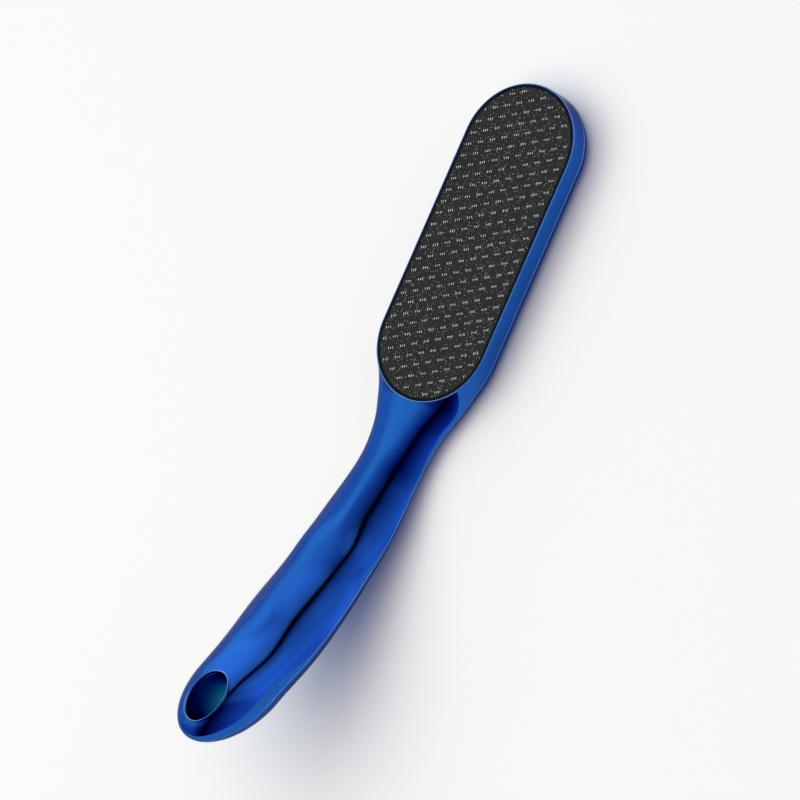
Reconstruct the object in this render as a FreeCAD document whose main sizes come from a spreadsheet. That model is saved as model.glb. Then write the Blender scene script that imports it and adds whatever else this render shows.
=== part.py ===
import FreeCAD, Part
import os

# Foot file: a flat head with an abrasive plate on a long curved handle, moulded as two
# shells. Millimetres. The origin is the centre of the head's flat back, +X points from the
# handle to the head's tip, and +Z points out of the abrasive plate.

doc = FreeCAD.newDocument("foot_file")

# Driving dimensions
SIZES = {
    # Head
    "head_length": 120.0,
    "head_width": 47.0,
    "head_thickness": 12.5,
    "seam_height": 5.6,
    "lower_edge_radius": 5.5,
    "rim_edge_radius": 0.2,
    "rim_wall": 0.5,
    # Shells and the lap joint between them
    "shell_wall": 2.0,
    "tray_floor": 1.8,
    "rebate_depth": 1.0,
    "tongue_height": 1.5,
    "tongue_root": 0.5,
    "joint_clearance": 0.1,
    # Abrasive plate and the adhesive sheet under it
    "plate_thickness": 0.8,
    "plate_sink": 0.1,
    "plate_clearance": 0.1,
    "adhesive_thickness": 0.5,
    "adhesive_inset": 1.0,
    # Shoulders, where the head narrows into the handle
    "root_step": 2.5,
    "shoulder_step": 1.4,
    "shoulder_before": 12.0,
    "flare_step": 5.0,
    "flare_seam": 4.8,
    "crest_gap": 0.7,
    "belly_gap": 0.6,
    "bulkhead": 4.0,
    "parting_lift": 0.3,
    # Handle: places along it from the neck to the start of the rounded end
    "handle_length": 140.0,
    "neck_at": 20.0,
    "waist_share": 0.25,
    "swell_share": 0.48,
    "palm_share": 0.69,
    "dip_share": 0.855,
    "end_rounding": 24.0,
    # Handle: seam height, half width, and height above and depth below the seam
    "neck_seam": 4.9,
    "neck_half_width": 13.2,
    "neck_rise": 7.4,
    "neck_drop": 4.5,
    "waist_seam": 9.4,
    "waist_half_width": 15.3,
    "waist_rise": 8.2,
    "waist_drop": 7.2,
    "swell_seam": 15.5,
    "swell_half_width": 16.3,
    "swell_rise": 9.1,
    "swell_drop": 9.4,
    "palm_seam": 23.4,
    "palm_half_width": 17.6,
    "palm_rise": 10.3,
    "palm_drop": 11.6,
    "dip_seam": 29.6,
    "dip_half_width": 16.9,
    "dip_rise": 10.2,
    "dip_drop": 12.4,
    "eye_seam": 36.3,
    "eye_half_width": 16.1,
    "eye_rise": 11.2,
    "eye_drop": 12.8,
    "tip_seam": 47.6,
    # Hanging hole
    "hole_before_end": 16.9,
    "hole_length": 19.4,
    "hole_width": 13.4,
    "hole_wall": 2.0,
    # Bosses with pins, and ribs
    "boss_diameter": 6.4,
    "pin_diameter": 3.0,
    "pin_length": 3.0,
    "socket_spare": 0.4,
    "boss_spacing_long": 70.0,
    "boss_spacing_wide": 24.0,
    "rib_thickness": 1.2,
    "rib_pitch": 20.0,
}

sheet = doc.addObject("Spreadsheet::Sheet", "Sizes")
for row, (alias, value) in enumerate(SIZES.items(), 1):
    sheet.set(f"A{row}", alias)
    sheet.set(f"B{row}", str(value))
    sheet.setAlias(f"B{row}", alias)
doc.recompute()


def sized(text):
    """Turn size names in an expression into references to the sheet."""
    for alias in sorted(SIZES, key=len, reverse=True):
        text = text.replace(alias, f"<{list(SIZES).index(alias)}>")
    for index, alias in enumerate(SIZES):
        text = text.replace(f"<{index}>", f"Sizes.{alias}")
    return text


def bind(item, **expressions):
    """Bind properties to expressions in size names. A double underscore stands for a dot."""
    for prop, text in expressions.items():
        item.setExpression(prop.replace("__", "."), sized(text))
    return item


def place(item, across="0", along="0", up="0"):
    """Bind where an object sits: along X, across Y and up Z."""
    return bind(item, Placement__Base__x=along, Placement__Base__y=across, Placement__Base__z=up)


def boolean(kind, name, *items):
    """Cut or intersect two objects, or fuse any number of them."""
    item = doc.addObject(f"Part::{kind}", name)
    if kind == "MultiFuse":
        item.Shapes = list(items)
    else:
        item.Base, item.Tool = items
    return item


# Simple solids

# Everything that is trimmed by the outer form starts below it and ends above it.
FAR_BELOW = "-head_thickness"
FAR_HEIGHT = "2 * head_thickness + tip_seam + eye_rise"

# Turns an object drawn in XY to stand across the handle: its X to Y, its Y to Z.
ACROSS = FreeCAD.Rotation(FreeCAD.Vector(1, 1, 1), 120)


def stadium(name, length, width, base, height):
    """A block with two half-round ends, centred on the head."""
    block = doc.addObject("Part::Box", name + "_block")
    bind(block, Length=f"{length} - ({width})", Width=width, Height=height)
    place(block, along=f"-({length} - ({width})) / 2", across=f"-({width}) / 2", up=base)
    ends = []
    for end, sign in (("tip", ""), ("root", "-")):
        round_end = doc.addObject("Part::Cylinder", f"{name}_{end}")
        bind(round_end, Radius=f"({width}) / 2", Height=height)
        ends.append(place(round_end, along=f"{sign}({length} - ({width})) / 2", up=base))
    fused = boolean("MultiFuse", name, block, *ends)
    fused.Refine = True
    return fused


def head_block(name, inset, base, height):
    """The head's own outline, set in from its outer wall."""
    return stadium(name, f"head_length - 2 * ({inset})", f"head_width - 2 * ({inset})", base, height)


def rounded(name, base_item, level, radius):
    """Round every edge of an object that lies flat at one level."""
    doc.recompute()
    fillet = doc.addObject("Part::Fillet", name)
    fillet.Base = base_item
    flat = []
    for index, edge in enumerate(base_item.Shape.Edges, 1):
        box = edge.BoundBox
        if abs(box.ZMin - level) < 1e-6 and abs(box.ZMax - level) < 1e-6:
            flat.append((index, radius, radius))
    fillet.Edges = flat
    return fillet


def upright_oval(name, along, length, width):
    """An oval column along Z."""
    oval = doc.addObject("Part::Ellipse", name + "_oval")
    bind(oval, MajorRadius=f"({length}) / 2", MinorRadius=f"({width}) / 2")
    place(oval, along=along, up=FAR_BELOW)
    column = doc.addObject("Part::Extrusion", name)
    column.Base = oval
    column.Dir = FreeCAD.Vector(0, 0, 1)
    column.Solid = True
    return bind(column, LengthFwd=FAR_HEIGHT)


# Handle form: half-ellipse sections above and below a seam line

HEAD_END = "head_length / 2"
GRIP = "(handle_length - neck_at - end_rounding)"
END_ANGLES = (30, 55, 74, 86)


def shoulder_rows(inset, depth):
    """Sections inside the head, as (name, place along X, seam height, half width, height)."""
    steps = (
        ("root", f"{HEAD_END} - head_width / 2", "root_step", "seam_height"),
        ("shoulder", f"{HEAD_END} - shoulder_before", "shoulder_step", "seam_height"),
        ("flare", HEAD_END, "flare_step", "flare_seam"),
    )
    rows = []
    for name, along, step, seam in steps:
        height = f"(head_thickness - crest_gap - {seam})" if depth == "rise" else f"({seam} - belly_gap)"
        rows.append((name, along, seam, f"head_width / 2 - {step} - ({inset})", f"{height} - ({inset})"))
    return rows


def grip_rows(inset, depth):
    """Sections from the neck to the start of the rounded end."""
    shares = (
        ("neck", "0"),
        ("waist", "waist_share"),
        ("swell", "swell_share"),
        ("palm", "palm_share"),
        ("dip", "dip_share"),
        ("eye", "1"),
    )
    rows = []
    for name, share in shares:
        along = f"{HEAD_END} + neck_at + {share} * {GRIP}"
        half_width = f"{name}_half_width - ({inset})"
        rows.append((name, along, f"{name}_seam", half_width, f"{name}_{depth} - ({inset})"))
    return rows


def end_rows(inset, depth):
    """Sections that close the handle's end along a quarter of an ellipse."""
    rows = []
    for angle in END_ANGLES:
        reach = f"sin({angle} deg)"
        shrink = f"cos({angle} deg)"
        along = f"{HEAD_END} + handle_length - end_rounding + (end_rounding - ({inset})) * {reach}"
        seam = f"eye_seam + (tip_seam - eye_seam) * {reach}"
        half_width = f"(eye_half_width - ({inset})) * {shrink}"
        rows.append((f"end{angle}", along, seam, half_width, f"(eye_{depth} - ({inset})) * {shrink}"))
    return rows


def loft(name, sections):
    item = doc.addObject("Part::Loft", name)
    item.Sections = sections
    item.Solid = True
    return item


def handle_form(name, rows, lift):
    """A solid of full ellipses. Only its half above or below the seam is used."""
    sections = []
    for station, along, seam, half_width, height in rows:
        oval = doc.addObject("Part::Ellipse", f"{name}_{station}")
        bind(oval, MajorRadius=half_width, MinorRadius=f"{height} {lift} parting_lift")
        oval.Placement.Rotation = ACROSS
        sections.append(place(oval, along=f"-({along})", up=f"{seam} - parting_lift"))
    return loft(name, sections)


def all_rows(inset, depth):
    return shoulder_rows(inset, depth) + grip_rows(inset, depth) + end_rows(inset, depth)


def cavity_form(name, depth, lift):
    """The hollow of the handle. A bulkhead parts it from the head's hollow."""
    form = handle_form(f"{name}_form", all_rows("shell_wall", depth), lift)
    keep = doc.addObject("Part::Box", f"{name}_keep")
    bind(keep, Length="handle_length", Width="2 * head_width", Height=FAR_HEIGHT)
    place(keep, along=f"-({HEAD_END} + bulkhead + handle_length)", across="-head_width", up=FAR_BELOW)
    return boolean("Common", name, form, keep)


def seam_solid():
    """Everything over the seam of the head and of the handle."""
    rows = all_rows("0", "rise")
    rows[-1] = ("past_end", f"{HEAD_END} + handle_length + root_step") + rows[-1][2:]
    sections = []
    for station, along, seam, _, _ in rows:
        wall = doc.addObject("Part::Plane", f"over_{station}")
        bind(wall, Length="2 * head_width", Width=FAR_HEIGHT)
        wall.Placement.Rotation = ACROSS
        sections.append(place(wall, along=f"-({along})", across="-head_width", up=seam))
    over_head = doc.addObject("Part::Box", "over_head")
    bind(over_head, Length="head_length", Width="2 * head_width", Height=FAR_HEIGHT)
    place(over_head, along=f"-({rows[0][1]})", across="-head_width", up="seam_height")
    return boolean("MultiFuse", "over_seam", loft("over_handle", sections), over_head)


over_seam = seam_solid()


def lap_ring(name, outer_inset, inner_inset, top):
    """A ring inside the head's wall, from just under the seam to a little over it."""
    base = "seam_height - tongue_root"
    height = f"tongue_root + {top}"
    outer = head_block(f"{name}_outer", outer_inset, base, height)
    inner = head_block(f"{name}_inner", inner_inset, base, height)
    ring = boolean("Cut", f"{name}_ring", outer, inner)
    keep = doc.addObject("Part::Box", f"{name}_keep")
    bind(keep, Length="head_length", Width="head_width", Height=height)
    place(keep, along=f"head_width / 2 - {HEAD_END} + shell_wall", across="-head_width / 2", up=base)
    return boolean("Common", name, ring, keep)


# Outer forms of the two shells. The lower one's tongue stands in the upper one's rebate.

edge_limit = min(SIZES["lower_edge_radius"], SIZES["seam_height"] - SIZES["joint_clearance"])
rim_limit = min(SIZES["rim_edge_radius"], SIZES["rim_wall"] / 2)

upper_head = head_block("upper_head", "0", "seam_height - tongue_root",
                        "head_thickness - seam_height + tongue_root")
upper_head = rounded("upper_head_rim", upper_head, SIZES["head_thickness"], rim_limit)
upper_form = handle_form("upper_form", all_rows("0", "rise"), "+")
upper_body = boolean("MultiFuse", "upper_body", upper_head, upper_form)
rebate = lap_ring("rebate", "rebate_depth", "shell_wall + joint_clearance",
                  "tongue_height + joint_clearance")
upper_space = boolean("Cut", "upper_space", over_seam, rebate)
upper_outer = boolean("Common", "upper_outer", upper_body, upper_space)

lower_head = head_block("lower_head", "0", "0", "seam_height + 2 * tongue_height")
lower_head = rounded("lower_head_round", lower_head, 0.0, edge_limit)
lower_form = handle_form("lower_form", all_rows("0", "drop"), "-")
lower_body = boolean("MultiFuse", "lower_body", lower_head, lower_form)
tongue = lap_ring("tongue", "rebate_depth + joint_clearance", "shell_wall - joint_clearance",
                  "tongue_height")
lower_space = boolean("Cut", "lower_space", over_seam, tongue)
lower_outer = boolean("Cut", "lower_outer", lower_body, lower_space)

# Cavities

SEAT_DEPTH = "(adhesive_thickness + plate_thickness + plate_sink)"
TRAY_BASE = f"(head_thickness - {SEAT_DEPTH} - tray_floor)"

upper_floor = head_block("upper_floor", "shell_wall", "seam_height - tongue_root",
                         f"{TRAY_BASE} - seam_height + tongue_root")
upper_grip_cavity = cavity_form("upper_grip_cavity", "rise", "+")
upper_cavity = boolean("MultiFuse", "upper_cavity", upper_floor, upper_grip_cavity)

lower_floor = head_block("lower_floor", "shell_wall", "shell_wall",
                         "seam_height - shell_wall + 2 * tongue_height")
lower_floor = rounded("lower_floor_round", lower_floor, SIZES["shell_wall"],
                      max(edge_limit - SIZES["shell_wall"], rim_limit))
lower_grip_cavity = cavity_form("lower_grip_cavity", "drop", "-")
lower_cavity = boolean("MultiFuse", "lower_cavity", lower_floor, lower_grip_cavity)

# Inner features that meet face to face at the seam: ribs, bosses and the hanging hole's wall

HOLE_AT = f"-({HEAD_END} + handle_length - hole_before_end)"


def grip_place(share):
    return f"-({HEAD_END} + neck_at + {share} * {GRIP})"


boss_places = [
    (f"{sign_x}boss_spacing_long / 2", f"{sign_y}boss_spacing_wide / 2", "seam_height")
    for sign_x in ("", "-")
    for sign_y in ("", "-")
]
boss_places.append((grip_place("waist_share"), "0", "waist_seam"))
boss_places.append((grip_place("palm_share"), "0", "palm_seam"))


def columns(name, diameter, base, height):
    """One upright cylinder at each boss, based on the seam height there."""
    items = []
    for index, (along, across, seam) in enumerate(boss_places):
        item = doc.addObject("Part::Cylinder", f"{name}{index}")
        bind(item, Radius=f"({diameter}) / 2", Height=height)
        items.append(place(item, along=along, across=across, up=base.replace("SEAM", seam)))
    return items


rib_places = ["-rib_pitch", "0", "rib_pitch", grip_place("swell_share"), grip_place("dip_share")]
ribs = []
for index, along in enumerate(rib_places):
    rib = doc.addObject("Part::Box", f"rib{index}")
    bind(rib, Length="rib_thickness", Width="head_width", Height=FAR_HEIGHT)
    ribs.append(place(rib, along=f"{along} - rib_thickness / 2", across="-head_width / 2", up=FAR_BELOW))

hanging_hole = upright_oval("hanging_hole", HOLE_AT, "hole_length", "hole_width")
hole_tube = upright_oval("hole_tube", HOLE_AT, "hole_length + 2 * hole_wall",
                         "hole_width + 2 * hole_wall")
bosses = columns("boss", "boss_diameter", FAR_BELOW, FAR_HEIGHT)
features = boolean("MultiFuse", "features", hole_tube, *ribs, *bosses)

# Upper shell

plate_seat = head_block("plate_seat", "rim_wall", f"head_thickness - {SEAT_DEPTH}",
                        f"{SEAT_DEPTH} + rim_wall")
pins = columns("pin", "pin_diameter", "SEAM - pin_length", "pin_length + tongue_height")
upper_pockets = boolean("Cut", "upper_pockets", upper_cavity, features)
upper_cutters = boolean("MultiFuse", "upper_cutters", upper_pockets, plate_seat, hanging_hole)
upper_hollow = boolean("Cut", "upper_hollow", upper_outer, upper_cutters)
upper_shell = boolean("MultiFuse", "upper_shell", upper_hollow, *pins)

# Lower shell

sockets = columns("socket", "pin_diameter + 2 * joint_clearance", "SEAM - pin_length - socket_spare",
                  "pin_length + socket_spare + tongue_height")
lower_pockets = boolean("Cut", "lower_pockets", lower_cavity, features)
lower_cutters = boolean("MultiFuse", "lower_cutters", lower_pockets, hanging_hole, *sockets)
lower_shell = boolean("Cut", "lower_shell", lower_outer, lower_cutters)

# Abrasive plate and its adhesive sheet

PLATE_INSET = "rim_wall + plate_clearance"
PLATE_BASE = "head_thickness - plate_sink - plate_thickness"
abrasive_plate = head_block("abrasive_plate", PLATE_INSET, PLATE_BASE, "plate_thickness")
plate_adhesive = head_block("plate_adhesive", f"{PLATE_INSET} + adhesive_inset",
                            f"{PLATE_BASE} - adhesive_thickness", "adhesive_thickness")

# Check and write the pieces

PIECES = (upper_shell, lower_shell, abrasive_plate, plate_adhesive)

doc.recompute()
for item in doc.Objects:
    if "Invalid" in item.State or "Error" in item.State:
        raise RuntimeError(f"{item.Label} failed to build")
for piece in PIECES:
    shape = piece.Shape
    if shape.isNull() or not shape.isValid() or len(shape.Solids) != 1:
        raise RuntimeError(f"{piece.Label} is not one valid solid")

os.makedirs("parts", exist_ok=True)
for piece in PIECES:
    piece.Shape.exportStep(f"parts/{piece.Label}.step")
    print(f"{piece.Label}: {piece.Shape.Volume / 1000:.2f} cm3")
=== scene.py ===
import math

import bmesh
import bpy
import numpy as np
from mathutils import Matrix, Vector


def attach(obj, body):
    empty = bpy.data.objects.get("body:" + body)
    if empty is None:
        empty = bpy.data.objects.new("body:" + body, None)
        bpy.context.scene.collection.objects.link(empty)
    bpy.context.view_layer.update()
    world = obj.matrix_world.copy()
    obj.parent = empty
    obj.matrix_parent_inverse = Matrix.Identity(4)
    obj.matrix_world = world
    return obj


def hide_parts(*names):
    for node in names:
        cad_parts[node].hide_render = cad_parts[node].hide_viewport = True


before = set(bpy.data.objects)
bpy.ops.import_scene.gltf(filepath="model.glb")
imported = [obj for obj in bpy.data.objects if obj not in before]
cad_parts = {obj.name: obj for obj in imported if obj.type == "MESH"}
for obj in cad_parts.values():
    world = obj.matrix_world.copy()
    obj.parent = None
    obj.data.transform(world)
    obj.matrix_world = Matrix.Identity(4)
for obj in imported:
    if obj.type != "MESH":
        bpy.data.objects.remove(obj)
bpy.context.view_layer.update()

# Lengths are in millimetres. Places along the file are measured from the head's middle towards
# the handle's end, so they run along -X. Y is across the file and Z is out of the plate.
MM = 0.001
TINY = 1e-6
QUARTER = np.radians(90)

# Head
HEAD_ROUND = 23.5
ARC_AT = 36.5
HEAD_END = 60.0
SEAM_Z = 5.6
WALL_Z = 11.6
SHOULDER_Z = 12.25
LOWER_ROUND = 5.3

# Rim round the plate, and the ledge under the plate's edge
RIM_Z = 12.5
RIM_WIDTH = 0.5
RIM_ROUND = 0.2
RIM_TURNS = np.radians([0, 22.5, 45, 67.5, 90])
RECESS_Z = 11.15
LEDGE_END = 1.5

# Handle's end, and the place from which the underside is a plain half ellipse
END_AT = 176.0
END_REACH = 24.0
END_HALF_WIDTH = 16.75
END_RISE = 12.4
END_DROP = 12.8
END_SEAM = 36.3
TIP_SEAM = 47.6
OVAL_FROM = 80.0

# Hanging hole: an oval opening with a rounded and beaded mouth
HOLE_AT = 184.2
HOLE_HALF_LENGTH = 9.3
HOLE_HALF_WIDTH = 6.7
HOLE_ROUND = 1.2
HOLE_BEAD = 0.3

# Seam between the shells. The lower one stands back a little under the upper one's round edge.
LIP = 2.0
LIP_SHARE = 0.5
SEAM_ROUND = 0.35
SEAM_ROUND_SHARE = 0.2
SEAM_GAP = 0.02
SEAM_STEP = 0.15
SEAM_TURNS = np.radians([0, 30, 60, 90])

# Half widths of the outline, heights of the seam, rises of the top over the seam and drops of the
# back under it, each at a place along the file
HALF_WIDTHS = [
    (36.5, 23.5), (42, 23.2), (50, 21.35), (59, 18.4), (63, 16.95), (68, 15.15), (74, 14.05),
    (80, 13.6), (88, 13.95), (104, 15.85), (126.1, 17.0), (146.2, 18.3), (162.1, 17.65),
    (176, 16.75)]
SEAMS = [
    (36.5, 5.6), (48, 5.55), (60, 4.8), (80, 4.9), (104, 9.4), (126.1, 15.5), (146.2, 23.4),
    (162.1, 29.6), (176, 36.3)]
RISES = [
    (36.5, 6.7), (48, 6.9), (60, 7.45), (80, 7.6), (104, 8.4), (126.1, 9.4), (146.2, 10.6),
    (162.1, 11.0), (176, 12.4)]
DROPS = [
    (36.5, 5.6), (48, 5.5), (60, 4.6), (80, 4.5), (104, 7.2), (126.1, 9.4), (146.2, 11.6),
    (162.1, 12.4), (176, 12.8)]
# How square a section of the top is: 0.5 is a plain half ellipse, and 0 a box
SQUARENESS = [
    (36.5, 0.05), (42, 0.10), (48, 0.20), (54, 0.28), (60, 0.33), (66, 0.36), (70, 0.385),
    (76, 0.43), (84, 0.52), (93, 0.56), (101, 0.62), (109, 0.57), (119, 0.41), (127, 0.47),
    (134, 0.53), (148, 0.555), (156, 0.49), (162, 0.43), (170, 0.385), (176, 0.37)]
# How far out a section of the top goes: under 1, its sides still lean in where they reach the seam
FULLNESS = [
    (36.5, 1.0), (42, 0.985), (48, 0.96), (54, 0.945), (60, 0.94), (72, 0.94), (155, 0.94),
    (166, 0.93), (176, 0.92)]


# Curves along the file
def spline(points, last=0.0):
    """A smooth curve through (place, value) points. It starts level and ends at a slope."""
    x, y = np.array(points).T
    step = np.diff(x)
    slope = np.diff(y) / step
    count = len(x)
    lhs = np.zeros((count, count))
    rhs = np.zeros(count)
    lhs[0, :2] = 2 * step[0], step[0]
    rhs[0] = 6 * slope[0]
    lhs[-1, -2:] = step[-1], 2 * step[-1]
    rhs[-1] = 6 * (last - slope[-1])
    for i in range(1, count - 1):
        lhs[i, i - 1:i + 2] = step[i - 1], 2 * (step[i - 1] + step[i]), step[i]
        rhs[i] = 6 * (slope[i] - slope[i - 1])
    bend = np.linalg.solve(lhs, rhs)

    def value(t):
        i = np.clip(np.searchsorted(x, t) - 1, 0, count - 2)
        a = t - x[i]
        b = x[i + 1] - t
        h = step[i]
        cubic = (bend[i] * b ** 3 + bend[i + 1] * a ** 3) / (6 * h)
        return cubic + (y[i] / h - bend[i] * h / 6) * b + (y[i + 1] / h - bend[i + 1] * h / 6) * a

    return value


def with_end(curve, end_value):
    """Carry a curve on over the handle's rounded end."""
    def value(t):
        t = np.asarray(t, float)
        reach = np.clip((t - END_AT) / END_REACH, 0, 1)
        return np.where(t > END_AT, end_value(reach), curve(np.minimum(t, END_AT)))

    return value


def round_off(start):
    """A quarter ellipse from a value down to nothing at the handle's tip."""
    return lambda reach: start * np.sqrt(1 - reach ** 2)


half_width = with_end(spline(HALF_WIDTHS), round_off(END_HALF_WIDTH))
seam = with_end(
    spline(SEAMS, last=(TIP_SEAM - END_SEAM) / END_REACH),
    lambda reach: END_SEAM + (TIP_SEAM - END_SEAM) * reach)
rise = with_end(spline(RISES), round_off(END_RISE))
drop = with_end(spline(DROPS), round_off(END_DROP))
squareness = spline(SQUARENESS)
fullness = spline(FULLNESS)


def seam_round(t):
    """Radius of the shells' edges at the seam, which shrinks at the handle's tip."""
    return np.minimum(SEAM_ROUND, SEAM_ROUND_SHARE * half_width(t))


def smooth(a, b, t):
    """A share that rises from 0 at one place to 1 at another, level at both."""
    f = np.clip((t - a) / (b - a), 0, 1)
    return f * f * (3 - 2 * f)


def upper_height(t, y):
    """Top surface of the shoulders and of the handle."""
    base = seam(t) + seam_round(t)
    crest = seam(t) + rise(t)
    power = squareness(np.minimum(t, END_AT))
    full = np.minimum(fullness(np.minimum(t, END_AT)), 1)
    side = np.clip(full * np.abs(y) / np.maximum(half_width(t), TINY), 0, 1)
    foot = (1 - full ** (1 / power)) ** power
    return base + (crest - base) * ((1 - side ** (1 / power)) ** power - foot) / (1 - foot)


def lower_height(t, rho):
    """Underside, from a flat back with a round edge to a plain half ellipse."""
    outline = half_width(t) - SEAM_STEP
    depth = np.maximum(drop(t) - seam_round(t), 0)
    radius = np.minimum(LOWER_ROUND, depth)
    past = np.clip(rho - (outline - radius), 0, radius)
    dish = depth - radius + np.sqrt(np.maximum(radius ** 2 - past ** 2, 0))
    oval = depth * np.sqrt(np.clip(1 - (rho / np.maximum(outline, TINY)) ** 2, 0, 1))
    share = smooth(ARC_AT, OVAL_FROM, t)
    return seam(t) - seam_round(t) - ((1 - share) * dish + share * oval)


# Columns round one half of the file, from the head's tip along its side to the handle's end.
# Each has a spine point, a direction out from it, and the distance out at which its wall ends.
TIP_COLUMNS = 49
SIDE_COLUMNS = 40
ROOT_COLUMNS = 65
GRIP_COLUMNS = 170
END_COLUMNS = 61
tip_turn = np.linspace(0, QUARTER, TIP_COLUMNS)
side_at = np.linspace(-ARC_AT, ARC_AT, SIDE_COLUMNS)[1:-1]
root_turn = np.linspace(0, QUARTER, ROOT_COLUMNS)
grip_at = np.linspace(HEAD_END, END_AT, GRIP_COLUMNS)[1:]
end_turn = np.linspace(0, QUARTER, END_COLUMNS)[1:]
spine = np.concatenate([
    np.full(TIP_COLUMNS, -ARC_AT), side_at, ARC_AT + HEAD_ROUND * np.sin(root_turn), grip_at,
    END_AT + END_REACH * np.sin(end_turn)])
root_from = TIP_COLUMNS + len(side_at)
head_columns = root_from + ROOT_COLUMNS
all_columns = len(spine)
out_along = np.zeros(all_columns)
out_along[:TIP_COLUMNS] = -np.cos(tip_turn)
out_across = np.ones(all_columns)
out_across[:TIP_COLUMNS] = np.sin(tip_turn)
station = np.maximum(spine, ARC_AT)
width = half_width(station)
seam_at = seam(station)
edge = seam_round(station)
lip = np.minimum(LIP, LIP_SHARE * width)
wall_end = np.full(all_columns, HEAD_ROUND)
wall_end[root_from:head_columns] = HEAD_ROUND * np.cos(root_turn)
wall_end[head_columns:] = 0


def column_points(rho, z):
    """Points at a distance out from each column's spine point."""
    return np.stack([spine + out_along * rho, out_across * rho, z], axis=-1)


# Skins of the shells: rows of points from the seam's edge over the wall
EDGE_ROWS = 1 + len(SEAM_TURNS)
WALL_ROWS = 56
SECTION_POINTS = 700
LEAST_SIDE = 0.02
section_turn = np.linspace(0, QUARTER, SECTION_POINTS)


def edge_rows(sign, inset):
    """The turned-in edge at the seam: a flat lip and a small round."""
    rows = [column_points(width - lip, seam_at + sign * SEAM_GAP)]
    for turn in SEAM_TURNS:
        rho = np.maximum(width - inset - edge * (1 - np.sin(turn)), 0)
        rise_over = SEAM_GAP + (edge - SEAM_GAP) * (1 - np.cos(turn))
        rows.append(column_points(rho, seam_at + sign * rise_over))
    return rows


def even(rho, z):
    """Points spaced evenly along a section, leaving out its first."""
    steps = np.concatenate([[0], np.cumsum(np.hypot(np.diff(rho), np.diff(z)))])
    at = np.linspace(0, steps[-1], WALL_ROWS + 1)[1:]
    return np.interp(at, steps, rho), np.interp(at, steps, z)


def upper_wall(i):
    """Section of the upper shell at one column, up to the rim or to the handle's crest."""
    if spine[i] < ARC_AT:
        return even(np.full(2, HEAD_ROUND), np.array([SEAM_Z + SEAM_ROUND, WALL_Z]))
    t = station[i]
    reach = max(width[i], wall_end[i] + LEAST_SIDE)
    rho = reach * np.cos(section_turn) ** (2 * squareness(min(t, END_AT)))
    rho = np.append(rho[rho > wall_end[i]], wall_end[i])
    z = upper_height(t, rho * width[i] / reach)
    if spine[i] < HEAD_END:
        z = z[0] + (z - z[0]) * (SHOULDER_Z - z[0]) / (z[-1] - z[0])
    return even(rho, z)


def lower_wall(i):
    """Section of the lower shell at one column, down to the middle of the back."""
    rho = max(width[i] - SEAM_STEP, 0) * np.cos(section_turn)
    return even(rho, lower_height(station[i], rho))


def shell_skin(sign, inset, wall):
    """One half of a shell's outside, as a grid of columns and rows."""
    walls = np.array([wall(i) for i in range(all_columns)])
    rows = edge_rows(sign, inset)
    rows += [column_points(walls[:, 0, k], walls[:, 1, k]) for k in range(WALL_ROWS)]
    return np.stack(rows, axis=1)


upper_skin = shell_skin(1, 0, upper_wall)
lower_skin = shell_skin(-1, SEAM_STEP, lower_wall)


# Rim
def stadium(inset):
    """Half of the head's outline, set in from its wall, from the tip to the root."""
    radius = HEAD_ROUND - inset
    along = np.concatenate([
        -ARC_AT - radius * np.cos(tip_turn), side_at, ARC_AT + radius * np.sin(root_turn)])
    across = np.concatenate([
        radius * np.sin(tip_turn), np.full(len(side_at), radius), radius * np.cos(root_turn)])
    return along, across


rim_profile = []
for turn in RIM_TURNS:
    rim_profile.append((RIM_ROUND * (1 - np.cos(turn)), RIM_Z - RIM_ROUND * (1 - np.sin(turn))))
for turn in RIM_TURNS:
    inner = RIM_WIDTH - RIM_ROUND * (1 - np.sin(turn))
    rim_profile.append((inner, RIM_Z - RIM_ROUND * (1 - np.cos(turn))))
rim_profile += [(RIM_WIDTH, RECESS_Z), (LEDGE_END, RECESS_Z)]
rim_rows = [upper_skin[:head_columns, -1]]
for inset, z in rim_profile:
    rim_rows.append(np.stack([*stadium(inset), np.full(head_columns, z)], axis=-1))
rim_skin = np.stack(rim_rows, axis=1)

# Hanging hole. Part of each skin is laid anew, in rings from the hole's mouth outwards.
MOUTH_SHARES = (0, 0.05, 0.13, 0.23, 0.35, 0.48, 0.62, 0.76, 0.89, 1.0)
BEAD_FROM = 3
BEAD_TO = 7
PATCH_FROM = 169.5
PATCH_TO = 198.3
PATCH_SHARE = 0.6
PATCH_STEPS = 13
BORE_STEPS = 10
patch_first = int(np.searchsorted(spine, PATCH_FROM))
patch_last = int(np.searchsorted(spine, PATCH_TO))
patch_row = EDGE_ROWS + WALL_ROWS - 1 - int(WALL_ROWS * PATCH_SHARE)
SHELL_FINISH = 0
# The hole's wall has its own finish: painted shade near the mouth and a painted reflection further
# down.
PAINTED_BORE_FINISH = 1
# A lighter plating that paints thin highlight lines on the rim, the seam's edges and the hole's bead.
PAINTED_HIGHLIGHT_FINISH = 2


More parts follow.
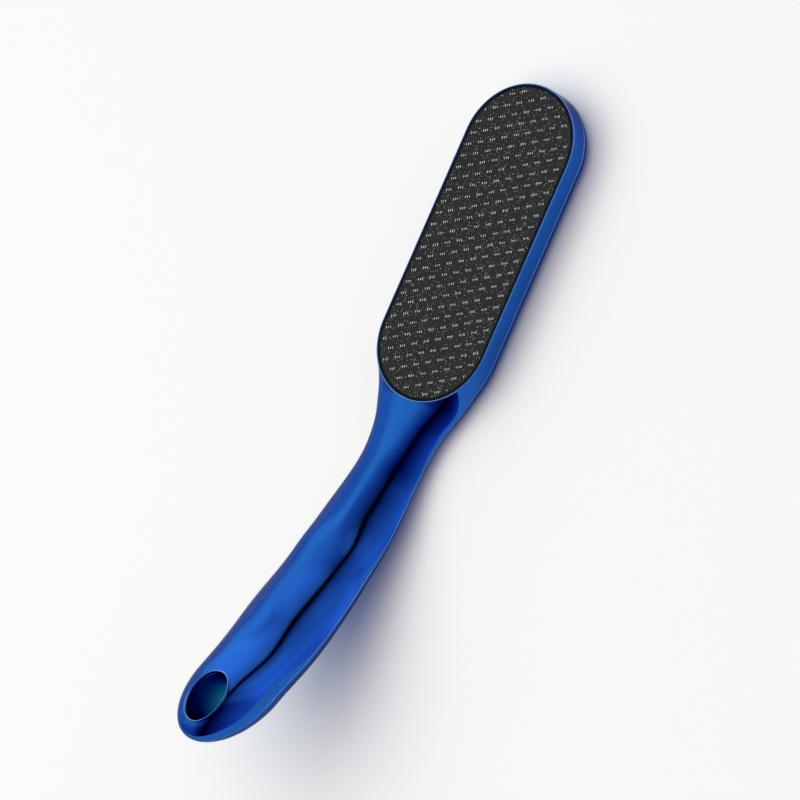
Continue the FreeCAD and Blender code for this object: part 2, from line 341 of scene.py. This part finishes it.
def hole_skins(skin, height, sign):
    """A skin with the hole in it and the hole's wall, as grids with their finishes."""
    border = np.concatenate([
        skin[patch_first, patch_row:][::-1], skin[patch_first + 1:patch_last, patch_row],
        skin[patch_last, patch_row:]])
    turn = np.arctan2(border[:, 1] / HOLE_HALF_WIDTH, (border[:, 0] - HOLE_AT) / HOLE_HALF_LENGTH)
    oval_along = HOLE_AT + HOLE_HALF_LENGTH * np.cos(turn)
    oval = np.stack([oval_along, HOLE_HALF_WIDTH * np.sin(turn)], axis=-1)
    normal = np.stack([np.cos(turn) / HOLE_HALF_LENGTH, np.sin(turn) / HOLE_HALF_WIDTH], axis=-1)
    normal /= np.linalg.norm(normal, axis=1)[:, None]
    rings = []
    for share in MOUTH_SHARES:
        plan = oval + HOLE_ROUND * share * normal
        bead = HOLE_BEAD * math.sin(math.pi * share) ** 2
        sink = HOLE_ROUND * (1 - math.sqrt(1 - (1 - share) ** 2)) - bead
        rings.append(np.column_stack([plan, height(plan[:, 0], plan[:, 1]) - sign * sink]))
    start = oval + HOLE_ROUND * normal
    for share in np.linspace(0, 1, PATCH_STEPS)[1:-1]:
        plan = start + (border[:, :2] - start) * share
        rings.append(np.column_stack([plan, height(plan[:, 0], plan[:, 1])]))
    rings.append(border)
    rings = np.stack(rings)
    mouth = rings[0]
    foot = seam(mouth[:, 0]) + sign * SEAM_GAP
    bore = np.stack([
        np.column_stack([mouth[:, :2], mouth[:, 2] + (foot - mouth[:, 2]) * share])
        for share in np.linspace(0, 1, BORE_STEPS)])
    outside = [
        skin[:patch_first + 1, EDGE_ROWS - 1:],
        skin[patch_first:patch_last + 1, EDGE_ROWS - 1:patch_row + 1],
        skin[patch_last:, EDGE_ROWS - 1:],
        rings[:BEAD_FROM + 1],
        rings[BEAD_TO:]]
    return [(grid, SHELL_FINISH) for grid in outside] + [
        # The hole's wall: painted shade near the mouth and a painted teal reflection further down.
        (bore, PAINTED_BORE_FINISH),
        # The hole's bead and the shells' edges at the seam: painted highlight lines.
        (rings[BEAD_FROM:BEAD_TO + 1], PAINTED_HIGHLIGHT_FINISH),
        (skin[:, :EDGE_ROWS], PAINTED_HIGHLIGHT_FINISH)]


# Meshes. Points closer than the weld are one point, and edges sharper than the crease stay sharp.
WELD = 0.002 * MM
SLIVER = 0.001 * MM
SHELL_CREASE = math.radians(45)
PLATE_CREASE = math.radians(35)


def mesh_object(name, verts, faces, finishes, crease):
    """A clean, smooth-shaded piece from points and faces."""
    mesh = bpy.data.meshes.new(name)
    mesh.from_pydata([tuple(v) for v in verts], [], faces)
    mesh.polygons.foreach_set("material_index", finishes)
    work = bmesh.new()
    work.from_mesh(mesh)
    bmesh.ops.remove_doubles(work, verts=work.verts, dist=WELD)
    bmesh.ops.dissolve_degenerate(work, edges=work.edges, dist=SLIVER)
    bmesh.ops.recalc_face_normals(work, faces=work.faces)
    work.to_mesh(mesh)
    work.free()
    mesh.shade_smooth()
    mesh.set_sharp_from_angle(angle=crease)
    item = bpy.data.objects.new(name, mesh)
    bpy.context.scene.collection.objects.link(item)
    return item


def from_halves(name, grids):
    """A piece from grids of one half, mirrored across the file's long middle plane."""
    verts = []
    faces = []
    finishes = []
    for grid, finish in grids:
        rows, cols = grid.shape[:2]
        for side in (1, -1):
            base = len(verts)
            verts.extend(grid.reshape(-1, 3) * (-MM, side * MM, MM))
            for i in range(rows - 1):
                for j in range(cols - 1):
                    a = base + i * cols + j
                    quad = (a, a + 1, a + cols + 1, a + cols)
                    faces.append(quad if side > 0 else quad[::-1])
                    finishes.append(finish)
    return mesh_object(name, verts, faces, finishes, SHELL_CREASE)


# The rim round the plate takes the lighter plating, a painted highlight.
rim_grids = [(rim_skin[:, :2], SHELL_FINISH), (rim_skin[:, 1:], PAINTED_HIGHLIGHT_FINISH)]
upper = from_halves("upper_shell_skin", hole_skins(upper_skin, upper_height, 1) + rim_grids)
lower = from_halves("lower_shell_skin", hole_skins(lower_skin, lower_height, -1))

# Abrasive plate
PLATE_INSET = 0.6
PLATE_TOP = 12.4
PLATE_BASE = 11.6
PLATE_EDGE = 0.12
BARE_MARGIN = 1.0
TEETH_INSET = PLATE_INSET + BARE_MARGIN
PLATE_PROFILE = (
    (PLATE_INSET + PLATE_EDGE, PLATE_BASE),
    (PLATE_INSET, PLATE_BASE),
    (PLATE_INSET, PLATE_TOP - PLATE_EDGE),
    (PLATE_INSET + PLATE_EDGE, PLATE_TOP),
    (TEETH_INSET, PLATE_TOP),
)
TEETH_FINISH = 0
BORDER_FINISH = 1

plate_verts = []
plate_faces = []
for inset, z in PLATE_PROFILE:
    half_along, half_across = stadium(inset)
    loop = list(zip(half_along, half_across))
    loop += zip(half_along[-2:0:-1], -half_across[-2:0:-1])
    plate_verts.extend((-x * MM, y * MM, z * MM) for x, y in loop)
loop_size = len(loop)
top_level = len(PLATE_PROFILE) - 1
for level in range(top_level):
    for i in range(loop_size):
        a = level * loop_size + i
        b = level * loop_size + (i + 1) % loop_size
        plate_faces.append((a, b, b + loop_size, a + loop_size))
border_faces = len(plate_faces)
plate_faces.append(tuple(range(loop_size)))
plate_faces.append(tuple(top_level * loop_size + i for i in range(loop_size)))

# Teeth. Each has an oval foot sunk in the plate, a narrower oval and a point.
TOOTH_TURN = math.radians(25)
TOOTH_SINK = 0.02
TOOTH_TOP = 0.66
TOOTH_TOP_AT = 0.86
ROW_SHIFT = 0.5
SEED = 7

# Groups of three large teeth: along, across, half length, half width and height of each tooth
GROUP = (
    (0.0, 0.0, 0.60, 0.16, 0.38),
    (-0.33, 0.75, 0.52, 0.15, 0.36),
    (-0.68, 1.48, 0.60, 0.16, 0.38),
)
GROUP_FROM_ALONG = 1.5
GROUP_FROM_ACROSS = 1.4
PITCH_ALONG = 4.385
PITCH_ACROSS = 4.375
GROUP_GROW = (0.85, 1.1)
GROUP_LEAN = 0.12
GROUP_SIDES = 10

# Fine teeth all over: half length, half width and height
FINE_TOOTH = (0.24, 0.17, 0.185)
FINE_PITCH = PITCH_ALONG / 6
FINE_STRAY = 0.12
FINE_LEAST = 0.4
FINE_GROW = 0.75
FINE_LEAN = 0.5
FINE_SIDES = 6


def inside(along, across, inset):
    """Whether a point lies in the head's outline, set in from its wall."""
    past = max(abs(along) - ARC_AT, 0)
    return math.hypot(past, across) < HEAD_ROUND - inset


def tooth(along, across, size, grow, turn, sides):
    """Add one cutting tooth to the plate."""
    half_length, half_thick, height = (value * grow for value in size)
    base = len(plate_verts)
    for scale, z in ((1.0, -TOOTH_SINK), (TOOTH_TOP, TOOTH_TOP_AT * height)):
        for i in range(sides):
            angle = 2 * math.pi * i / sides
            u = scale * half_length * math.cos(angle)
            v = scale * half_thick * math.sin(angle)
            x = along + u * math.cos(turn) - v * math.sin(turn)
            y = across + u * math.sin(turn) + v * math.cos(turn)
            plate_verts.append((-x * MM, -y * MM, (PLATE_TOP + z) * MM))
    plate_verts.append((-along * MM, -across * MM, (PLATE_TOP + height) * MM))
    for i in range(sides):
        j = (i + 1) % sides
        plate_faces.append((base + i, base + j, base + sides + j, base + sides + i))
        plate_faces.append((base + sides + i, base + sides + j, base + 2 * sides))


chance = np.random.default_rng(SEED)
rows_half = int(HEAD_ROUND / PITCH_ACROSS) + 1
cols_half = int(HEAD_END / PITCH_ALONG) + 1
for row in range(-rows_half, rows_half + 1):
    for col in range(-cols_half, cols_half + 1):
        group_along = GROUP_FROM_ALONG + (col + ROW_SHIFT * (row % 2)) * PITCH_ALONG
        group_across = GROUP_FROM_ACROSS + row * PITCH_ACROSS
        for shift_along, shift_across, *size in GROUP:
            tooth_along = group_along + shift_along
            tooth_across = group_across + shift_across
            if inside(tooth_along, tooth_across, TEETH_INSET + size[0]):
                grow = chance.uniform(*GROUP_GROW)
                turn = TOOTH_TURN + chance.uniform(-GROUP_LEAN, GROUP_LEAN)
                tooth(tooth_along, tooth_across, size, grow, turn, GROUP_SIDES)
rows_half = int(HEAD_ROUND / FINE_PITCH)
cols_half = int(HEAD_END / FINE_PITCH)
for row in range(-rows_half, rows_half + 1):
    for col in range(-cols_half, cols_half + 1):
        tooth_along = (col + ROW_SHIFT * (row % 2)) * FINE_PITCH
        tooth_along += chance.uniform(-FINE_STRAY, FINE_STRAY)
        tooth_across = row * FINE_PITCH + chance.uniform(-FINE_STRAY, FINE_STRAY)
        grow = FINE_LEAST + FINE_GROW * chance.random() ** 2
        turn = TOOTH_TURN + chance.uniform(-FINE_LEAN, FINE_LEAN)
        if inside(tooth_along, tooth_across, TEETH_INSET):
            tooth(tooth_along, tooth_across, FINE_TOOTH, grow, turn, FINE_SIDES)
other_faces = len(plate_faces) - border_faces
plate_finishes = [BORDER_FINISH] * border_faces + [TEETH_FINISH] * other_faces
plate = mesh_object(
    "abrasive_plate_teeth", plate_verts, plate_faces, plate_finishes, PLATE_CREASE)

# Colours, darker and lighter, and the tint of the plating's edges
BLUE_DIM = (0.005, 0.088, 0.42, 1)
BLUE_BRIGHT = (0.006, 0.097, 0.45, 1)
BLUE_EDGE = (0.2, 0.3, 0.29, 1)
# A lighter plating, a painted highlight on the rim, the shells' edges at the seam and the hole's
# bead.
PAINTED_HIGHLIGHT_DIM = (0.10, 0.23, 0.56, 1)
PAINTED_HIGHLIGHT_BRIGHT = (0.14, 0.28, 0.60, 1)
PAINTED_HIGHLIGHT_EDGE = (0.2, 0.3, 0.5, 1)
BORDER_DARK = (0.002, 0.002, 0.0025, 1)
BORDER_LIGHT = (0.005, 0.005, 0.006, 1)
FOAM_DARK = (0.62, 0.6, 0.55, 1)
FOAM_LIGHT = (0.78, 0.77, 0.73, 1)
PAPER = (0.94, 0.94, 0.94, 1)

# Dark tint of the hole's plating edges and colours of the hole's wall, all painted: shade near the
# mouth and a teal reflection further down. Then the heights from which and up to which the colours
# go.
BORE_SHADE_EDGE = (0.03, 0.07, 0.2, 1)
BORE_SHADE_AND_REFLECTION_COLORS = [
    (0.0, (0.016, 0.15, 0.26, 1)),
    (0.5, (0.005, 0.06, 0.16, 1)),
    (1.0, (0.001, 0.02, 0.115, 1))]
BORE_DEEP = 33.0
BORE_SHALLOW = 43.0

# Colours of the plate's face and teeth, from the black coating to nearly white tips: the light tips
# are a painted glint, with random wear mixed in
ABRASIVE_AND_GLINT_COLORS = [
    (0.0, (0.0088, 0.007, 0.006, 1)),
    (0.24, (0.0148, 0.012, 0.0104, 1)),
    (0.36, (0.039, 0.035, 0.031, 1)),
    (0.52, (0.13, 0.12, 0.109, 1)),
    (0.66, (0.365, 0.34, 0.31, 1)),
    (0.82, (0.81, 0.76, 0.71, 1)),
    (1.0, (0.95, 0.91, 0.87, 1))]
GLINT_HEIGHT = 0.34
WEAR_SHARE = 0.35


# Materials
def material(name):
    """A new material, its node tree and its shader."""
    item = bpy.data.materials.new(name)
    item.use_nodes = True
    return item, item.node_tree, item.node_tree.nodes["Principled BSDF"]


def ramp(tree, value, stops):
    """A colour picked by a value, from (position, colour) stops."""
    item = tree.nodes.new("ShaderNodeValToRGB")
    elements = item.color_ramp.elements
    elements[0].position, elements[0].color = stops[0]
    elements[1].position, elements[1].color = stops[-1]
    for position, color in stops[1:-1]:
        elements.new(position).color = color
    tree.links.new(value, item.inputs["Fac"])
    return item.outputs["Color"]


def remap(tree, value, source, target=(0, 1)):
    """A value carried from one range to another."""
    item = tree.nodes.new("ShaderNodeMapRange")
    item.inputs["From Min"].default_value, item.inputs["From Max"].default_value = source
    item.inputs["To Min"].default_value, item.inputs["To Max"].default_value = target
    tree.links.new(value, item.inputs["Value"])
    return item.outputs["Result"]


def noise(tree, scale, detail):
    """Noise that is fixed to the piece."""
    place = tree.nodes.new("ShaderNodeTexCoord")
    item = tree.nodes.new("ShaderNodeTexNoise")
    item.inputs["Scale"].default_value = scale
    item.inputs["Detail"].default_value = detail
    tree.links.new(place.outputs["Object"], item.inputs["Vector"])
    return item.outputs["Fac"]


def object_z(tree):
    """Height of a point of the piece."""
    place = tree.nodes.new("ShaderNodeTexCoord")
    split = tree.nodes.new("ShaderNodeSeparateXYZ")
    tree.links.new(place.outputs["Object"], split.inputs["Vector"])
    return split.outputs["Z"]


def relief(tree, shader, value, strength, distance):
    """Fine relief on the shader's surface."""
    item = tree.nodes.new("ShaderNodeBump")
    item.inputs["Strength"].default_value = strength
    item.inputs["Distance"].default_value = distance
    tree.links.new(value, item.inputs["Height"])
    tree.links.new(item.outputs["Normal"], shader.inputs["Normal"])


def plating(name, edge_tint, gloss, coat):
    """Mirror-like plating over moulded plastic, with a faint ripple and no colour yet."""
    item, tree, shader = material(name)
    shader.inputs["Metallic"].default_value = 1.0
    shader.inputs["Specular Tint"].default_value = edge_tint
    shader.inputs["Coat Weight"].default_value = coat
    shader.inputs["Coat Roughness"].default_value = 0.03
    haze = noise(tree, scale=220, detail=4)
    roughness = remap(tree, haze, source=(0.3, 0.7), target=gloss)
    tree.links.new(roughness, shader.inputs["Roughness"])
    relief(tree, shader, noise(tree, scale=500, detail=2), strength=0.03, distance=0.0002)
    return item, tree, shader


def even_plating(name, dim, bright, edge_tint, gloss, coat):
    """Plating of one colour, faintly mottled."""
    item, tree, shader = plating(name, edge_tint, gloss, coat)
    tone = noise(tree, scale=35, detail=3)
    color = ramp(tree, tone, [(0.35, dim), (0.65, bright)])
    tree.links.new(color, shader.inputs["Base Color"])
    return item


def painted_bore_plating(name, gloss, coat):
    """The hole's plating, with painted shade near the mouth and a painted teal reflection further
    down the hole.
    """
    item, tree, shader = plating(name, BORE_SHADE_EDGE, gloss, coat)
    height = remap(tree, object_z(tree), source=(BORE_DEEP * MM, BORE_SHALLOW * MM))
    tree.links.new(ramp(tree, height, BORE_SHADE_AND_REFLECTION_COLORS), shader.inputs["Base Color"])
    return item


def abrasive(name):
    """Black coated steel. Its teeth turn light towards their tips as a painted glint, mixed with
    random wear.
    """
    item, tree, shader = material(name)
    # Painted glint: the colour turns light with height up the teeth, and noise mixes in random wear.
    glint_top = (PLATE_TOP + GLINT_HEIGHT) * MM
    height = remap(tree, object_z(tree), source=(PLATE_TOP * MM, glint_top))
    wear = noise(tree, scale=900, detail=3)
    glint_and_wear = tree.nodes.new("ShaderNodeMath")
    glint_and_wear.operation = "MULTIPLY_ADD"
    glint_and_wear.inputs[1].default_value = WEAR_SHARE
    tree.links.new(wear, glint_and_wear.inputs[0])
    tree.links.new(height, glint_and_wear.inputs[2])
    color = ramp(tree, glint_and_wear.outputs["Value"], ABRASIVE_AND_GLINT_COLORS)
    tree.links.new(color, shader.inputs["Base Color"])
    shader.inputs["Metallic"].default_value = 0.25
    shader.inputs["Specular IOR Level"].default_value = 0.4
    roughness = remap(tree, wear, source=(0, 1), target=(0.38, 0.6))
    tree.links.new(roughness, shader.inputs["Roughness"])
    relief(tree, shader, wear, strength=0.5, distance=0.0001)
    return item


def grained(name, dark, light, scale, detail, roughness, specular, strength):
    """A matt surface with a fine grain."""
    item, tree, shader = material(name)
    grain = noise(tree, scale, detail)
    color = ramp(tree, grain, [(0.3, dark), (0.7, light)])
    tree.links.new(color, shader.inputs["Base Color"])
    shader.inputs["Roughness"].default_value = roughness
    shader.inputs["Specular IOR Level"].default_value = specular
    relief(tree, shader, grain, strength, distance=0.0001)
    return item


shell_finishes = (
    even_plating("plated_blue", BLUE_DIM, BLUE_BRIGHT, BLUE_EDGE, gloss=(0.04, 0.065), coat=0.25),
    # Painted shade near the hole's mouth and a painted teal reflection further down.
    painted_bore_plating("plated_bore_painted_shade_and_reflection", gloss=(0.2, 0.3), coat=0.0),
    # Lighter plating that paints highlight lines.
    even_plating("plated_painted_highlight", PAINTED_HIGHLIGHT_DIM, PAINTED_HIGHLIGHT_BRIGHT, PAINTED_HIGHLIGHT_EDGE, gloss=(0.1, 0.16), coat=0.15),
)
for piece, node in ((upper, "upper_shell"), (lower, "lower_shell")):
    for finish in shell_finishes:
        piece.data.materials.append(finish)
    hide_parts(node)
    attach(piece, "root")
plate.data.materials.append(abrasive("black_abrasive"))
plate.data.materials.append(grained(
    "black_border", BORDER_DARK, BORDER_LIGHT, scale=900, detail=3, roughness=0.6, specular=0.12,
    strength=0.3))
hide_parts("abrasive_plate")
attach(plate, "root")
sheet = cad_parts["plate_adhesive"]
sheet.data.materials.clear()
sheet.data.materials.append(grained(
    "foam_sheet", FOAM_DARK, FOAM_LIGHT, scale=700, detail=4, roughness=0.85, specular=0.5,
    strength=0.4))

# Camera at the photograph's angle, with a long lens
RIGHT = Vector((0.39945, -0.75036, -0.5267))
TOWARDS = Vector((-0.062, -0.595, 0.801)).normalized()
LOOK_AT = Vector((-60.8, 3.9, 10.7)) * MM
FRAME_WIDTH = 279.7 * MM
DISTANCE = 6.0
SENSOR_WIDTH = 36
SEEN_TO = 50
level_axis = (RIGHT - TOWARDS * RIGHT.dot(TOWARDS)).normalized()
upright_axis = TOWARDS.cross(level_axis)
lens = bpy.data.cameras.new("camera")
lens.sensor_width = SENSOR_WIDTH
lens.lens = SENSOR_WIDTH * DISTANCE / FRAME_WIDTH
lens.clip_end = SEEN_TO
camera = bpy.data.objects.new("camera", lens)
camera_turn = Matrix((level_axis, upright_axis, TOWARDS)).transposed().to_4x4()
camera.matrix_world = Matrix.Translation(LOOK_AT + TOWARDS * DISTANCE) @ camera_turn
bpy.context.scene.collection.objects.link(camera)
bpy.context.scene.camera = camera

# Floor: plain white paper
FLOOR_SIZE = 8
FLOOR_Z = -0.4 * MM
bpy.ops.mesh.primitive_plane_add(size=FLOOR_SIZE, location=(0, 0, FLOOR_Z))
floor = bpy.context.object
floor.name = "floor"
paper, _, paper_shader = material("paper")
paper_shader.inputs["Base Color"].default_value = PAPER
paper_shader.inputs["Roughness"].default_value = 0.9
paper_shader.inputs["Specular IOR Level"].default_value = 0.0
floor.data.materials.append(paper)

# World: a soft bank of light behind the file, a dimmer one before it, a bright one past the head's
# tip on either side, a low one before the file, and a dark gap overhead that runs askew of the file.
# Each bank is (place, level) stops across the file, times stops along it. The places go from -1 to 1.
SKEW = [(-1.0, 0.22), (0.0, 0.2), (0.2, 0.16), (0.4, 0.08), (0.55, 0.0), (1.0, 0.0)]
BEHIND = [
    (-1.0, 0.6), (-0.92, 0.74), (-0.83, 0.78), (-0.72, 0.72), (-0.62, 0.60), (-0.52, 0.49),
    (-0.42, 0.39), (-0.32, 0.31), (-0.22, 0.235), (-0.14, 0.17), (-0.07, 0.10), (-0.02, 0.045),
    (0.03, 0.008), (0.06, 0.0), (1.0, 0.0)]
BEHIND_ALONG = [(-1.0, 0.4), (-0.5, 0.65), (-0.3, 0.95), (-0.1, 1.05), (1.0, 1.0)]
BEFORE = [
    (-1.0, 0.0), (0.05, 0.0), (0.1, 0.02), (0.17, 0.05), (0.25, 0.105), (0.35, 0.155), (0.45, 0.2),
    (0.55, 0.26), (0.65, 0.33), (0.75, 0.42), (0.85, 0.46), (1.0, 0.5)]
BEFORE_ALONG = [(-1.0, 0.5), (-0.6, 0.6), (-0.3, 0.75), (0.0, 0.9), (0.3, 0.95), (1.0, 1.0)]
TIP_BEHIND = [
    (-1.0, 0.5), (-0.65, 0.46), (-0.5, 0.5), (-0.35, 0.48), (-0.15, 0.43), (-0.07, 0.4),
    (-0.03, 0.33), (0.01, 0.15), (0.04, 0.0), (1.0, 0.0)]
TIP_BEHIND_ALONG = [
    (-1.0, 0.0), (0.35, 0.0), (0.45, 0.15), (0.55, 0.3), (0.6, 0.38), (0.64, 0.75), (0.69, 1.05),
    (1.0, 1.1)]
TIP_BEFORE = [
    (-1.0, 0.0), (0.11, 0.0), (0.16, 0.12), (0.22, 0.22), (0.3, 0.31), (0.4, 0.39), (0.5, 0.45),
    (0.6, 0.48), (0.75, 0.5), (1.0, 0.5)]
TIP_BEFORE_ALONG = [
    (-1.0, 0.0), (0.3, 0.0), (0.4, 0.1), (0.48, 0.45), (0.55, 0.55), (0.62, 0.6), (0.7, 1.05),
    (1.0, 1.1)]
LOW = [(-1.0, 0.45), (0.0, 0.45), (0.1, 0.35), (0.2, 0.2), (0.35, 0.05), (0.45, 0.0), (1.0, 0.0)]
LOW_ACROSS = [(-1.0, 0.0), (0.25, 0.0), (0.6, 1.0), (1.0, 1.0)]
LOW_ALONG = [(-1.0, 0.6), (-0.2, 0.5), (0.2, 0.35), (0.4, 0.95), (1.0, 1.0)]
COOL = 1.75
FRESH = 1.25
NEUTRAL = 1
SKY_STRENGTH = 1.38

world = bpy.data.worlds.new("studio")
bpy.context.scene.world = world
world.use_nodes = True
sky_tree = world.node_tree


def bank(axis, stops, cool, fresh=1.0):
    """A level along one axis of the direction. Cool turns dim light bluer, and fresh greener."""
    colors = [((at + 1) / 2, (level ** cool, fresh * level ** cool, level, 1)) for at, level in stops]
    return ramp(sky_tree, remap(sky_tree, axis, source=(-1, 1)), colors)


def joined(kind, a, b):
    """Two colours, added or multiplied."""
    item = sky_tree.nodes.new("ShaderNodeVectorMath")
    item.operation = kind
    sky_tree.links.new(a, item.inputs[0])
    sky_tree.links.new(b, item.inputs[1])
    return item.outputs["Vector"]


direction = sky_tree.nodes.new("ShaderNodeTexCoord")
axes = sky_tree.nodes.new("ShaderNodeSeparateXYZ")
sky_tree.links.new(direction.outputs["Generated"], axes.inputs["Vector"])
along = axes.outputs["X"]
skewed = sky_tree.nodes.new("ShaderNodeMath")
skewed.operation = "ADD"
sky_tree.links.new(axes.outputs["Y"], skewed.inputs[0])
sky_tree.links.new(bank(along, SKEW, NEUTRAL), skewed.inputs[1])
flipped = sky_tree.nodes.new("ShaderNodeMath")
flipped.operation = "MULTIPLY"
flipped.inputs[1].default_value = -1
sky_tree.links.new(skewed.outputs["Value"], flipped.inputs[0])
side = flipped.outputs["Value"]

behind = joined("MULTIPLY", bank(side, BEHIND, COOL, FRESH), bank(along, BEHIND_ALONG, COOL))
before = joined("MULTIPLY", bank(side, BEFORE, COOL, FRESH), bank(along, BEFORE_ALONG, COOL))
tip_behind = joined(
    "MULTIPLY", bank(side, TIP_BEHIND, NEUTRAL), bank(along, TIP_BEHIND_ALONG, NEUTRAL))
tip_before = joined(
    "MULTIPLY", bank(side, TIP_BEFORE, NEUTRAL), bank(along, TIP_BEFORE_ALONG, NEUTRAL))
low = joined("MULTIPLY", bank(axes.outputs["Z"], LOW, COOL), bank(side, LOW_ACROSS, COOL))
low = joined("MULTIPLY", low, bank(along, LOW_ALONG, COOL))
over_file = joined("ADD", behind, joined("ADD", before, low))
sky = joined("ADD", over_file, joined("ADD", tip_behind, tip_before))
background = sky_tree.nodes["Background"]
sky_tree.links.new(sky, background.inputs["Color"])
background.inputs["Strength"].default_value = SKY_STRENGTH

# Key light: a large soft box overhead that the plating doesn't reflect
KEY_AT = Vector((-0.3, 0.3, 1.6))
KEY_AIM = Vector((-0.06, 0, 0))
KEY_SIZE = 3.0
KEY_POWER = 40
KEY_COLOR = (1.0, 0.922, 0.736)
light = bpy.data.lights.new("key", "AREA")
light.shape = "RECTANGLE"
light.size = KEY_SIZE
light.size_y = KEY_SIZE
light.energy = KEY_POWER
light.color = KEY_COLOR
key = bpy.data.objects.new("key", light)
key.location = KEY_AT
key.rotation_euler = (KEY_AIM - KEY_AT).to_track_quat("-Z", "Y").to_euler()
key.visible_glossy = False
bpy.context.scene.collection.objects.link(key)

bpy.context.scene.view_settings.view_transform = "Standard"
